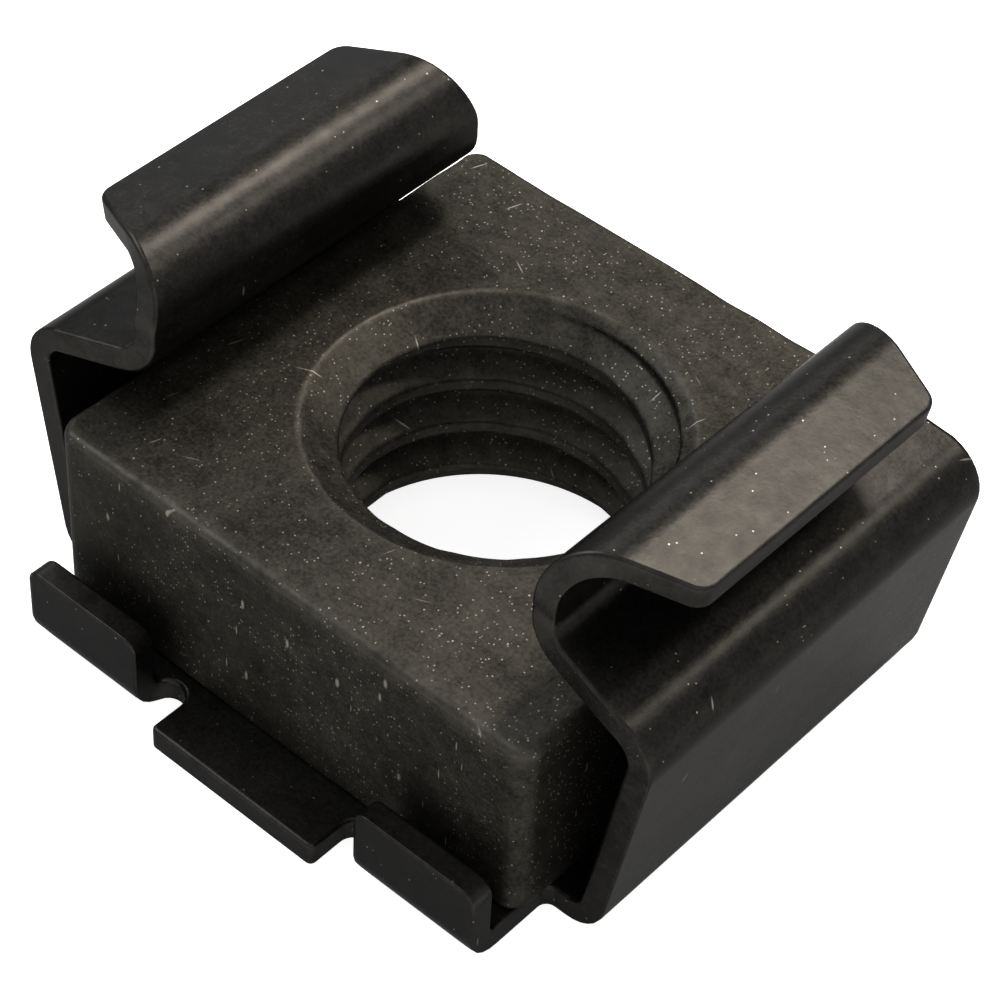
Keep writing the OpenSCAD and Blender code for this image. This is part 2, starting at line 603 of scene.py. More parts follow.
def smooth_noise(where: Array, seed: int, spacing: float) -> Array:
    """Gives smooth random values along a closed line.

    Args:
        where: Places along the line, from 0 to 1, where 1 meets 0.
        seed: The seed of the random numbers.
        spacing: The share of the line between two of them.

    Returns:
        A value from -1 to 1 for each place.
    """
    count = max(3, round(1 / spacing))
    knots = np.random.default_rng(seed).uniform(-1, 1, count)
    at = (where % 1.0) * count
    low = np.floor(at).astype(int)
    share = at - low
    share = share * share * (3 - 2 * share)
    return knots[low % count] * (1 - share) + knots[(low + 1) % count] * share


# ---------------------------------------------------------------- the nut


@dataclass(frozen=True)
class Thread:
    """A right-hand internal metric thread, in millimetres.

    Attributes:
        pitch: Its rise in one turn.
        crest_r: The radius at its crests.
        root_r: The radius at its roots.
        crest_flat: The width of a crest, as a share of the pitch.
        root_flat: The width of a root, as a share of the pitch.
        ease: How far a flank's ends are rounded, as a share of the flank.
        start_deg: The direction in which a root passes through height 0.
        rows_per_turn: How many rows of faces follow one turn of the thread.
    """

    pitch: float = 1.0
    crest_r: float = 2.525
    root_r: float = 2.99
    crest_flat: float = 0.25
    root_flat: float = 0.14
    ease: float = 0.07
    start_deg: float = 233.0
    rows_per_turn: int = 30

    def radius(self, share: Array) -> Array:
        """Gives the radius of the thread's form.

        Args:
            share: The place in the pitch, where a whole number is the middle of a root.

        Returns:
            The radius at each place.
        """
        from_root = np.abs((share + 0.5) % 1.0 - 0.5)
        flank = 0.5 - self.crest_flat / 2 - self.root_flat / 2
        eased = soft_step((from_root - self.root_flat / 2) / flank, self.ease)
        return self.root_r + (self.crest_r - self.root_r) * eased

    def rows(self) -> Array:
        """Gives the places in one pitch that carry a row of points.

        Returns:
            The places, from 0 up to but not at 1.
        """
        return np.arange(self.rows_per_turn) / self.rows_per_turn


def soft_step(value: Array, ease: float) -> Array:
    """Clips a value between 0 and 1 and rounds the two corners of the clip.

    Args:
        value: The value.
        ease: How far each rounded corner reaches.

    Returns:
        The clipped value.
    """
    low = (value + np.sqrt(value**2 + ease**2)) / 2
    return low - ((low - 1) + np.sqrt((low - 1) ** 2 + ease**2)) / 2


@dataclass
class SquareNut:
    """The square nut, with its thread, countersink and rolled edges, in millimetres.

    Attributes:
        low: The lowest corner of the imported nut.
        high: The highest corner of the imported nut.
        thread: The thread in its hole.
        countersink_r: The radius of the countersink at the top face.
        countersink_angle: The countersink's included angle, in degrees.
        exit_h: The depth of the chamfer at the underside.
        corner_r: The radius of the four upright corners.
        edge_r: The radius of the rolled top and bottom edges.
        edge_waver: How far that radius varies along an edge, as a share.
        burr: How far the burrs on the thread's crest stand out.
        columns: How many columns of faces go round the nut.
        corner_columns: How many of them bend round each upright corner.
        finish: The nut's finish.
    """

    low: Vector
    high: Vector
    thread: Thread = field(default_factory=Thread)
    countersink_r: float = 3.2
    countersink_angle: float = 118.0
    exit_h: float = 0.25
    corner_r: float = 0.38
    edge_r: float = 0.17
    edge_waver: float = 0.2
    burr: float = 0.012
    columns: int = 448
    corner_columns: int = 16
    finish: PhosphateFinish = NUT_FINISH

    def build(self) -> bpy.types.Object:
        """Makes the nut and dresses it.

        Returns:
            The finished piece.
        """
        bore, bore_edge = self._bore()
        shell, shell_edge = self._shell(bore[:, -1], bore[:, 0])
        grid = np.concatenate([bore, shell], axis=1)
        edge = np.concatenate([bore_edge, shell_edge], axis=1)
        columns, rows = grid.shape[:2]
        number = np.arange(columns * rows).reshape(columns, rows)
        a, b = number[:-1], number[1:]
        faces = np.stack([a[:, :-1], b[:, :-1], b[:, 1:], a[:, 1:]], axis=-1)
        closing = np.stack([a[:, -1], b[:, -1], b[:, 0], a[:, 0]], axis=-1)
        faces = np.concatenate([faces.reshape(-1, 4), closing])
        points, kept, (edge,) = weld(grid.reshape(-1, 3), faces, edge.reshape(-1))
        piece = make_piece("threaded_square_nut", points, kept, edge)
        piece.data.materials.append(self.finish.build())
        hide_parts("square_nut")
        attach(piece, "root")
        return piece

    def _bore(self) -> tuple[Array, Array]:
        """Lays the bore's wall, with rows that climb with the thread.

        Returns:
            The points by column and row, from the underside up, and their edge values.
        """
        bottom, top = self.low.z, self.high.z
        crest_band, rim_band = 0.1, 0.05
        crest_worn, rim_worn = 0.35, 0.8
        cone = math.tan(math.radians(self.countersink_angle / 2))
        turns = math.ceil((top - bottom) / self.thread.pitch) + 1
        places = (np.arange(turns)[:, None] + self.thread.rows()[None]).ravel() - 1
        share = np.linspace(0, 1, self.columns + 1)[:, None]
        angle = 2 * math.pi * share + math.radians(self.thread.start_deg)
        z = bottom + (places[None] + share) * self.thread.pitch
        snap = 0.4 * self.thread.pitch / self.thread.rows_per_turn
        z = np.where(z > top - snap, top, np.where(z < bottom + snap, bottom, z))
        in_pitch = (z - bottom) / self.thread.pitch - share
        r = self.thread.radius(in_pitch)
        countersink = self.countersink_r - (top - z) * cone
        chamfer = self.thread.crest_r + self.exit_h - (z - bottom)
        outline = np.maximum(np.maximum(r, countersink), chamfer)
        along_crest = (share + np.floor(places)[None]) / (turns + 1)
        burr = self.burr * smooth_noise(along_crest, seed=5, spacing=0.004)
        outline = outline + burr * (r < self.thread.crest_r + crest_band / 2)
        x, y = outline * np.cos(angle), outline * np.sin(angle)
        points = np.stack([x, y, z], axis=-1)
        crest = (self.thread.crest_r + crest_band - outline) / crest_band
        rim = 1 - np.abs(z - top) / rim_band
        crest, rim = np.clip(crest, 0, 1), np.clip(rim, 0, 1)
        return points, np.maximum(crest_worn * crest, rim_worn * rim)

    def _outline(self) -> tuple[Array, Array]:
        """Lays the nut's square outline with its rounded corners.

        Returns:
            A point and the outward direction for each column.
        """
        half = self.high.x - self.corner_r
        side_columns = self.columns // 4 - self.corner_columns
        along = np.linspace(-1, 1, side_columns + 1)[:-1] * half
        points, outward = [], []
        for quarter in range(4):
            turn = math.pi / 2 * quarter
            cos, sin = math.cos(turn), math.sin(turn)
            spin = np.array([[cos, -sin], [sin, cos]])
            side = np.stack([np.full_like(along, self.high.x), along], axis=-1)
            way = np.tile([1.0, 0.0], (len(along), 1))
            bend = np.linspace(0, math.pi / 2, self.corner_columns + 1)[:-1]
            arc_way = np.stack([np.cos(bend), np.sin(bend)], axis=-1)
            corner = np.array([half, half]) + self.corner_r * arc_way
            points.append(np.concatenate([side, corner]) @ spin.T)
            outward.append(np.concatenate([way, arc_way]) @ spin.T)
        start_turn = (math.radians(self.thread.start_deg) + math.pi / 4) / (2 * math.pi)
        start = round(start_turn * self.columns)
        ring = np.roll(np.concatenate(points), -start, axis=0)
        ways = np.roll(np.concatenate(outward), -start, axis=0)
        return np.concatenate([ring, ring[:1]]), np.concatenate([ways, ways[:1]])

    def _shell(self, top_ring: Array, bottom_ring: Array) -> tuple[Array, Array]:
        """Lays the top face, rolled edges, sides and underside.

        Args:
            top_ring: The bore's last ring, at the top face.
            bottom_ring: The bore's first ring, at the underside.

        Returns:
            The points by column and row, from the top ring outwards and down, and
            their edge values.
        """
        ring, way = self._outline()
        around = np.linspace(0, 1, len(ring))
        waver = 1 + self.edge_waver * smooth_noise(around, seed=11, spacing=0.015)
        low_waver = 1 + self.edge_waver * smooth_noise(around, seed=12, spacing=0.02)
        roll_top, roll_low = self.edge_r * waver, self.edge_r * low_waver
        rows: list[Array] = []
        edge: list[Array] = []

        def lay(flat: Array, z: Array | float, worn: float) -> None:
            """Adds one ring of points at a height."""
            height = np.broadcast_to(np.asarray(z, float), around.shape)
            rows.append(np.concatenate([flat, height[:, None]], axis=1))
            edge.append(np.full(around.shape, worn))

        def inset(depth: Array) -> Array:
            """Gives the outline moved inwards."""
            return ring - way * depth[:, None]

        top, bottom = self.high.z, self.low.z
        past_roll = 0.02  # where a flat face begins, past its rolled edge
        outer = inset(roll_top + past_roll)
        top_rows = ((0.03, 0.15), (0.12, 0.0), (0.5, 0.0), (0.85, 0.0), (0.97, 0.25))
        for share, worn in top_rows:
            lay(top_ring[:, :2] * (1 - share) + outer * share, top, worn)
        for turn in np.radians(np.linspace(0, 90, 9)):
            worn = 0.45 + 0.55 * math.sin(2 * turn)
            depth, drop = 1 - math.sin(turn), 1 - math.cos(turn)
            lay(inset(roll_top * depth), top - roll_top * drop, worn)
        for share in (0.12, 0.3, 0.5, 0.7, 0.88):
            lay(ring, top - share * (top - bottom), 0.0)
        for turn in np.radians(np.linspace(90, 0, 9)):
            worn = 0.3 + 0.5 * math.sin(2 * turn)
            depth, rise = 1 - math.sin(turn), 1 - math.cos(turn)
            lay(inset(roll_low * depth), bottom + roll_low * rise, worn)
        outer = inset(roll_low + past_roll)
        for share in (0.3, 0.7, 0.97):
            lay(outer * (1 - share) + bottom_ring[:, :2] * share, bottom, 0.0)
        return np.stack(rows, axis=1), np.stack(edge, axis=1)


# ---------------------------------------------------------------- the cage


@dataclass(frozen=True)
class Stretch:
    """One stretch of a folded strip's middle line: straight, or bent to a radius.

    Attributes:
        length: Its length along the middle line, in millimetres.
        bend: How far it turns, in radians; left turns are positive.
    """

    length: float
    bend: float = 0.0


@dataclass
class FoldedStrip:
    """The middle line of a folded strip, from the flat plate to its free end.

    Attributes:
        start: Where it leaves the plate, as a distance from the middle and a height.
        stretches: Its straight and bent stretches, in order.
    """

    start: tuple[float, float]
    stretches: list[Stretch]

    @property
    def length(self) -> float:
        """Gives the strip's developed length."""
        return sum(s.length for s in self.stretches)

    def stations(self, flat_step: float, bend_step: float) -> list[float]:
        """Gives the places along the strip that carry a row of points.

        Args:
            flat_step: The longest step on a straight stretch, in millimetres.
            bend_step: The largest turn between two rows, in radians.

        Returns:
            The places along the developed length, the start left out.
        """
        places: list[float] = []
        begun = 0.0
        for s in self.stretches:
            steps = math.ceil(max(s.length / flat_step, abs(s.bend) / bend_step))
            places += [begun + s.length * (i + 1) / steps for i in range(steps)]
            begun += s.length
        return places

    def place(self, along: Array) -> FoldedFrame:
        """Follows the strip to places along its developed length.

        Args:
            along: The places, in millimetres from the start.

        Returns:
            The distance from the middle, the height and the direction at each.
        """
        x = np.full_like(along, self.start[0])
        z = np.full_like(along, self.start[1])
        way = np.zeros_like(along)
        left = along.copy()
        for s in self.stretches:
            step = np.clip(left, 0, s.length)
            turned = s.bend * step / s.length
            half = np.where(np.abs(turned) > 1e-9, np.sinc(turned / 2 / math.pi), 1.0)
            x = x + step * half * np.cos(way + turned / 2)
            z = z + step * half * np.sin(way + turned / 2)
            way = way + turned
            left = left - step
        return x, z, way


def arc_points(
    centre: Sequence[float], r: float, start: float, swing: float, steps: int
) -> list[Array]:
    """Gives points on an arc.

    Args:
        centre: The arc's centre.
        r: Its radius.
        start: Its first angle, in radians.
        swing: How far it turns, in radians.
        steps: How many steps it takes.

    Returns:
        The points, both ends among them.
    """
    turns = [start + swing * k / steps for k in range(steps + 1)]
    return [np.array(centre) + r * np.array([math.cos(t), math.sin(t)]) for t in turns]


def round_corners(
    corners: Sequence[tuple[float, float, float]], steps: int = 6
) -> list[Array]:
    """Rounds the corners of an open line.

    Args:
        corners: Each corner's place and radius.
        steps: How many steps each rounding takes.

    Returns:
        The rounded line's points.
    """
    line: list[Array] = []
    for i, (x, y, r) in enumerate(corners):
        here = np.array([x, y])
        if r == 0 or i in (0, len(corners) - 1):
            line.append(here)
            continue
        back = np.array(corners[i - 1][:2]) - here
        ahead = np.array(corners[i + 1][:2]) - here
        back, ahead = back / np.linalg.norm(back), ahead / np.linalg.norm(ahead)
        half = math.acos(float(np.clip(back @ ahead, -1, 1))) / 2
        cut = r / math.tan(half)
        middle = (back + ahead) / np.linalg.norm(back + ahead)
        centre = here + middle * r / math.sin(half)
        first, last = here + back * cut - centre, here + ahead * cut - centre
        across = first[0] * last[1] - first[1] * last[0]
        swing = math.atan2(across, float(first @ last))
        line += arc_points(centre, r, math.atan2(first[1], first[0]), swing, steps)
    return line


@dataclass
class SheetMesh:
    """The mesh of a folded sheet as it is gathered, face by face and ring by ring.

    Attributes:
        points: The points of each surface or ring.
        normals: Their normals.
        edge: How near they are to an edge that wears, from 0 to 1.
        faces: The point numbers of each face.
    """

    points: list[Array] = field(default_factory=list)
    normals: list[Array] = field(default_factory=list)
    edge: list[Array] = field(default_factory=list)
    faces: list[list[int]] = field(default_factory=list)

    def add(self, points: Array, normals: Array, edge: Array) -> int:
        """Adds points.

        Args:
            points: The points.
            normals: Their normals.
            edge: Their edge values.

        Returns:
            The number of the first of them.
        """
        first = sum(len(p) for p in self.points)
        self.points.append(points)
        self.normals.append(normals)
        self.edge.append(edge)
        return first

    def band(self, lower: Array, upper: Array) -> None:
        """Joins two closed rings of point numbers by a band of quads."""
        quads = [lower, upper, np.roll(upper, -1), np.roll(lower, -1)]
        self.faces += np.stack(quads, axis=-1).tolist()


@dataclass
class SpringCage:
    """The spring cage: one sheet blank, folded up into two arms and four tabs.

    Attributes:
        sheet_t: The sheet's thickness.
        fold_r: The inside radius of the folds at the feet of the arms.
        shoulder_r: The inside radius of the arms' shoulders.
        hook_r: The inside radius of the hooks.
        lip_r: The inside radius of the rolled lips.
        wall_lean: How far the arms' walls lean outwards, in degrees.
        shoulder_rise: How far the shoulders rise towards the middle, in degrees.
        lip_droop: How far the lips' ends droop, in degrees.
        wall_l: The straight length of a wall.
        shoulder_l: The straight length of a shoulder.
        neck_l: The straight length of a neck.
        lip_l: The straight length of a lip's end.
        tab_fold_r: The inside radius of the folds at the feet of the tabs.
        hole_r: The radius of the base plate's hole.
        arm_fold_x: Where the arms' folds begin, from the middle.
        plate_half_x: Half the base plate's width between its tabs' outer ends.
        tab_fold_y: Where the tabs' folds begin, from the middle.
        tab_h: The tabs' height above the underside.
        tab_corner_r: The radius of the tabs' upper corners.
        tongue_half: Half the width of a tongue.
        tongue_y: How far the tongues reach from the middle.
        tongue_corner_r: The radius of a tongue's corners.
        slot_w: The width of the slots beside a tongue.
        slot_bite: How far a slot's round end passes the fold line.
        root_relief: The radius of the notch between an arm's root and a tab.
        arm_half: Half an arm's length at its wall.
        neck_half: The same at the neck.
        tip_half: The same at the tip.
        shoulder_taper_r: The rounding in plan where an arm begins to narrow.
        neck_taper_r: The same at both ends of the neck.
        tip_corner_r: The radius of the tip's corners.
        roll_edge: The rounding of the sheared edge on its upper face.
        burr_edge: The rounding of the sheared edge on its lower face.
        arm_strip: The arms' folded strip.
        tab_strip: The tabs' folded strip.
        finish: The cage's finish.
    """

    sheet_t: float = 0.45
    fold_r: float = 0.25
    shoulder_r: float = 0.43
    hook_r: float = 0.36
    lip_r: float = 0.62
    wall_lean: float = 9.0
    shoulder_rise: float = 14.0
    lip_droop: float = 9.0
    wall_l: float = 3.548
    shoulder_l: float = 1.3
    neck_l: float = 0.33
    lip_l: float = 1.1
    tab_fold_r: float = 0.12
    hole_r: float = 3.05
    arm_fold_x: float = 5.3
    plate_half_x: float = 4.9
    tab_fold_y: float = 5.28
    tab_h: float = 1.65
    tab_corner_r: float = 0.25
    tongue_half: float = 1.8
    tongue_y: float = 6.15
    tongue_corner_r: float = 0.12
    slot_w: float = 0.6
    slot_bite: float = 0.1
    root_relief: float = 0.18
    arm_half: float = 4.1
    neck_half: float = 3.8
    tip_half: float = 2.75
    shoulder_taper_r: float = 0.5
    neck_taper_r: float = 0.8
    tip_corner_r: float = 0.35
    roll_edge: float = 0.075
    burr_edge: float = 0.03
    arm_strip: FoldedStrip = field(init=False)
    tab_strip: FoldedStrip = field(init=False)
    finish: PhosphateFinish = CAGE_FINISH

    def __post_init__(self) -> None:
        """Lays out the folded strips of the arms and the tabs."""
        half_t = self.sheet_t / 2
        angles = (self.wall_lean, self.shoulder_rise, self.lip_droop)
        lean, rise, droop = (math.radians(angle) for angle in angles)
        up = math.pi / 2

        def bent(inside_r: float, turn: float, way: int = 1) -> Stretch:
            """Gives a bend: its inside radius, how far it turns, and to which side."""
            return Stretch((half_t + inside_r) * turn, way * turn)

        self.arm_strip = FoldedStrip(
            (self.arm_fold_x, half_t),
            [
                bent(self.fold_r, up - lean),
                Stretch(self.wall_l),
                bent(self.shoulder_r, up + lean - rise),
                Stretch(self.shoulder_l),
                bent(self.hook_r, up - rise, way=-1),
                Stretch(self.neck_l),
                bent(self.lip_r, up + droop, way=-1),
                Stretch(self.lip_l),
            ],
        )
        upright = self.tab_h - half_t - (half_t + self.tab_fold_r)
        self.tab_strip = FoldedStrip(
            (self.tab_fold_y, half_t), [bent(self.tab_fold_r, up), Stretch(upright)]
        )

    def build(self) -> bpy.types.Object:
        """Cuts the blank, folds it and dresses it.

        Returns:
            The finished piece.
        """
        loops = [self._resample(self._outline(), step=0.11), self._hole()]
        inward = [self._inward(loop) for loop in loops]
        flat, tris = self._mesh_blank(loops, inward)
        sheet = SheetMesh()
        for side in (1, -1):
            place, up = self._fold(flat, np.full(len(flat), side * self.sheet_t / 2))
            first = sheet.add(place, up * side, self._paled(flat, loops[0]))
            sheet.faces += [[first + i for i in tri[::side]] for tri in tris]
        begun = 0
        for loop, inner in zip(loops, inward):
            around = np.arange(len(loop))
            ring = begun + around
            for place, way, worn in self._rim_rings(loop, inner):
                first = sheet.add(place, way, np.full(len(loop), worn))
                sheet.band(ring, first + around)
                ring = first + around
            sheet.band(ring, len(flat) + begun + around)
            begun += len(loop)
        piece = make_piece(
            "spring_sheet_cage",
            np.concatenate(sheet.points),
            sheet.faces,
            np.concatenate(sheet.edge),
            np.concatenate(sheet.normals),
        )
        piece.data.materials.append(self.finish.build())
        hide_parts("spring_cage")
        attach(piece, "root")
        return piece

    def _quarter(self) -> list[Array]:
        """Draws a quarter of the blank's outline, from the tongue's end to the lip's.

        Returns:
            The points from the middle of the tongue to the middle of the lip's tip.
        """
        slot_x = self.tongue_half + self.slot_w / 2
        slot_y = self.tab_fold_y - self.slot_bite + self.slot_w / 2
        tab_x = slot_x + self.slot_w / 2
        tab_y = self.tab_fold_y + self.tab_strip.length
        ends = self.arm_fold_x + np.cumsum([s.length for s in self.arm_strip.stretches])
        to_shoulder, to_neck, to_roll, tip_x = (float(ends[i]) for i in (2, 4, 5, -1))
        tongue = round_corners(
            [
                (0, self.tongue_y, 0),
                (self.tongue_half, self.tongue_y, self.tongue_corner_r),
                (self.tongue_half, slot_y, 0),
            ]
        )
        slot = arc_points((slot_x, slot_y), self.slot_w / 2, math.pi, math.pi, 14)[1:]
        rest = round_corners(
            [
                (tab_x, slot_y, 0),
                (tab_x, tab_y, self.tab_corner_r),
                (self.plate_half_x, tab_y, self.tab_corner_r),
                (self.plate_half_x, self.arm_half, self.root_relief),
                (to_shoulder, self.arm_half, self.shoulder_taper_r),
                (to_neck, self.neck_half, self.neck_taper_r),
                (to_roll, self.neck_half, self.neck_taper_r),
                (tip_x, self.tip_half, self.tip_corner_r),
                (tip_x, 0, 0),
            ]
        )[1:]
        return tongue + slot + rest

    def _outline(self) -> list[Array]:
        """Draws the whole outline of the blank, anticlockwise.

        Returns:
            Its points.
        """
        quarter = self._quarter()[::-1]
        flip_x, flip_y = np.array([-1.0, 1.0]), np.array([1.0, -1.0])
        left = [p * flip_x for p in quarter[::-1]][1:]
        low_left = [p * flip_x * flip_y for p in quarter][1:]
        low_right = [p * flip_y for p in quarter[::-1]][1:-1]
        return quarter + left + low_left + low_right

    def _hole(self) -> Array:
        """Draws the base plate's round hole, clockwise."""
        steps = 192
        turns = -np.linspace(0, 2 * math.pi, steps + 1)[:-1]
        return np.stack([np.cos(turns), np.sin(turns)], axis=-1) * self.hole_r

    @staticmethod
    def _resample(line: list[Array], step: float) -> Array:
        """Adds points to a closed line until no step is longer than asked.

        Args:
            line: The line's points.
            step: The longest step.

        Returns:
            The points, one row each.
        """
        out: list[Array] = []
        for i, here in enumerate(line):
            ahead = line[(i + 1) % len(line)]
            length = float(np.linalg.norm(ahead - here))
            if length < 1e-6:
                continue
            pieces = max(1, math.ceil(length / step))
            out += [here + (ahead - here) * k / pieces for k in range(pieces)]
        return np.array(out)

    @staticmethod
    def _inward(loop: Array) -> Array:
        """Gives the direction into the sheet at each point of a loop.

        Args:
            loop: A loop that keeps the sheet on its left.

        Returns:
            The direction at each point, longer at a corner so that offsets stay even.
        """
        ahead = np.roll(loop, -1, axis=0) - loop
        ahead /= np.linalg.norm(ahead, axis=1)[:, None]
        normal = np.stack([-ahead[:, 1], ahead[:, 0]], axis=-1)
        before = np.roll(normal, 1, axis=0)
        both = normal + before
        both /= np.linalg.norm(both, axis=1)[:, None]
        return both / np.clip((both * normal).sum(1), 0.5, 1)[:, None]

    def _grid_lines(self) -> tuple[Array, Array]:
        """Gives the rows and columns of inner points, closer together in the bends.

        Returns:
            The places across and along.
        """
        flat_step, arm_turn, tab_turn = 0.24, math.radians(4.5), math.radians(6)

        def places(strip: FoldedStrip, turn: float) -> Array:
            """Gives the places along one axis, from the blank's one end to the other."""
            begin = strip.start[0]
            inner = np.linspace(0, begin, math.ceil(begin / flat_step) + 1)
            outer = begin + np.array(strip.stations(flat_step, turn))
            half = np.concatenate([inner, outer])
            return np.unique(np.round(np.concatenate([-half, half]), 7))

        return places(self.arm_strip, arm_turn), places(self.tab_strip, tab_turn)

    @staticmethod
    def _paled(flat: Array, loop: Array) -> Array:
        """Tells how far the sheet's faces are worn beside the blank's outline.

        Args:
            flat: The points in the blank.
            loop: The outline.

        Returns:
            Each point's edge value.
        """
        reach, most = 0.16, 0.6
        near = np.array([np.sqrt(((loop - p) ** 2).sum(1).min()) for p in flat])
        return np.clip(1 - near / reach, 0, 1) ** 2 * most

    @staticmethod
    def _inside(points: Array, loops: Sequence[Array]) -> Array:
        """Tells which points lie in the sheet.

        Args:
            points: The points.
            loops: The outline and the holes.

        Returns:
            True for each point inside the outline and outside the holes.
        """
        inside = np.zeros(len(points), bool)
        for loop in loops:
            for a, b in zip(loop, np.roll(loop, -1, axis=0)):
                crosses = (a[1] > points[:, 1]) != (b[1] > points[:, 1])
                if crosses.any():
                    slope = (b[0] - a[0]) / (b[1] - a[1])
                    at = a[0] + (points[:, 1] - a[1]) * slope
                    inside ^= crosses & (points[:, 0] < at)
        return inside

    def _mesh_blank(
        self, loops: Sequence[Array], inward: Sequence[Array]
    ) -> tuple[Array, list[list[int]]]:
        """Fills the blank's flat face with triangles.

        Args:
            loops: The outline and the hole.
            inward: The direction into the sheet at their points.

        Returns:
            The points, those of the loops first, and the triangles.
        """
        clear = 0.055  # how far the inner points keep from the edge
        inset = [loop + way * self.roll_edge for loop, way in zip(loops, inward)]
        across, along = self._grid_lines()
        grid = np.stack(np.meshgrid(across, along, indexing="ij"), axis=-1)
        grid = grid.reshape(-1, 2)
        grid = grid[self._inside(grid, inset)]
        rim = np.concatenate(inset)
        far = np.array([((rim - p) ** 2).sum(1).min() > clear**2 for p in grid])
        flat = np.concatenate([rim, grid[far]])
        edges: list[tuple[int, int]] = []
        for loop in inset:
            begun, count = len(edges), len(loop)
            edges += [(begun + i, begun + (i + 1) % count) for i in range(count)]
        places = [Vector(p) for p in flat.tolist()]
        made = delaunay_2d_cdt(places, edges, [], 0, 1e-6, True)
        back = [o[0] if o else -1 for o in made[3]]
        if -1 in back:
            raise ValueError("the blank's filling made points of its own")
        tris = np.array([[back[i] for i in f] for f in made[2]])
        tris = tris[self._inside(flat[tris].mean(axis=1), inset)]
        a, b, c = (flat[tris[:, i]] for i in range(3))
        ahead, aside = b - a, c - a
        turn = ahead[:, 0] * aside[:, 1] - ahead[:, 1] * aside[:, 0]
        tris[turn < 0] = tris[turn < 0][:, ::-1]
        return flat, tris[np.abs(turn) > 1e-9].tolist()

    def _rim_rings(self, loop: Array, inner: Array) -> list[tuple[Array, Array, float]]:
        """Rounds the sheared edge from the sheet's upper face to its lower one.

        Args:
            loop: The edge's loop in the blank.
            inner: The direction into the sheet at each of its points.

        Returns:
            The points, normals and edge value of each ring.
        """
        half = self.sheet_t / 2
        roll, burr = self.roll_edge, self.burr_edge
        roll_worn, burr_worn = 0.9, 0.7
        steps: list[tuple[float, float, float, float]] = []
        for turn in np.radians([22.5, 45, 67.5, 90]):
            depth, drop = roll * (1 - math.sin(turn)), roll * (1 - math.cos(turn))
            steps.append((depth, half - drop, turn, roll_worn))
        for turn in np.radians([90, 135]):
            depth, rise = burr * (1 - math.sin(turn)), burr * (1 + math.cos(turn))
            steps.append((depth, rise - half, turn, burr_worn))
        rings = []
        outward = -inner / np.linalg.norm(inner, axis=1)[:, None]
        for inset, height, turn, worn in steps:
            flat = loop + inner * inset
            place, up = self._fold(flat, np.full(len(flat), height))
            out = self._fold_direction(flat, outward)
            rings.append((place, math.cos(turn) * up + math.sin(turn) * out, worn))
        return rings

    def _folds(self, flat: Array) -> Iterator[tuple[int, Array, Array, FoldedFrame]]:
        """Follows the arms and the tabs to the points of the blank that lie on them.

        Args:
            flat: The points.

        Yields:
            For the arms and then for the tabs: the axis that they run along, the mask
            of their points, the side of the middle on which each lies, and the folded
            strip's distance, height and direction there.
        """
        arm = np.abs(flat[:, 0]) > self.arm_fold_x
        beside_tongue = np.abs(flat[:, 0]) > self.tongue_half + self.slot_w / 2
        tab = (np.abs(flat[:, 1]) > self.tab_fold_y) & beside_tongue & ~arm
        for axis, mask, strip in ((0, arm, self.arm_strip), (1, tab, self.tab_strip)):
            reach = np.abs(flat[mask, axis]) - strip.start[0]
            yield axis, mask, np.sign(flat[mask, axis]), strip.place(reach)

    def _fold(self, flat: Array, height: Array) -> tuple[Array, Array]:
        """Folds points of the blank into place.

        Args:
            flat: The points in the blank.
            height: How far each lies above the sheet's middle.

        Returns:
            Their places, and the direction of the upper face there.
        """
        middle = np.full((len(flat), 1), self.sheet_t / 2)
        place = np.concatenate([flat, middle], axis=1)
        up = np.tile([0.0, 0.0, 1.0], (len(flat), 1))
        for axis, mask, side, (reach, z, way) in self._folds(flat):
            place[mask, axis] = side * reach
            place[mask, 2] = z
            up[mask, axis] = -side * np.sin(way)
            up[mask, 2] = np.cos(way)
        return place + up * height[:, None], up

    def _fold_direction(self, flat: Array, direction: Array) -> Array:
        """Folds directions that lie in the blank.

        Args:
            flat: Where each direction lies.
            direction: The directions in the blank.

        Returns:
            The folded directions.
        """
        out = np.concatenate([direction, np.zeros((len(direction), 1))], axis=1)
        for axis, mask, side, (_, _, way) in self._folds(flat):
            outward = direction[mask, axis] * side
            out[mask, axis] = outward * np.cos(way) * side
            out[mask, 2] = outward * np.sin(way)
        return out


# ---------------------------------------------------------------- the studio


class Lamp(Enum):
    """The studio's lamps.

    Each has its direction round the object and its height above the horizon, in
    degrees, its distance and its two sides, in millimetres, its strength in watts and
    its colour.
    """

    KEY = (183.0, 58.5, 90.0, (17.0, 20.0), 0.072, (1.0, 0.94, 0.84))
    EDGE = (148.0, 46.0, 90.0, (9.0, 16.0), 0.024, (1.0, 0.94, 0.84))
    RIM = (230.0, 29.0, 110.0, (44.0, 34.0), 0.038, (0.92, 0.96, 1.0))
    FILL = (290.0, 45.0, 120.0, (80.0, 60.0), 0.10, (0.95, 0.97, 1.0))
    FRONT = (50.0, 40.0, 120.0, (80.0, 60.0), 0.018, (1.0, 0.98, 0.94))


def towards(azimuth: float, elevation: float) -> Vector:
    """Gives the direction from the object to a place round it.

    Args:
        azimuth: The direction round the object from the front, in degrees.
        elevation: The height above the horizon, in degrees.

    Returns:
        The direction, of length 1.
    """
    a, e = math.radians(azimuth), math.radians(elevation)
    return Vector((math.sin(a) * math.cos(e), -math.cos(a) * math.cos(e), math.sin(e)))


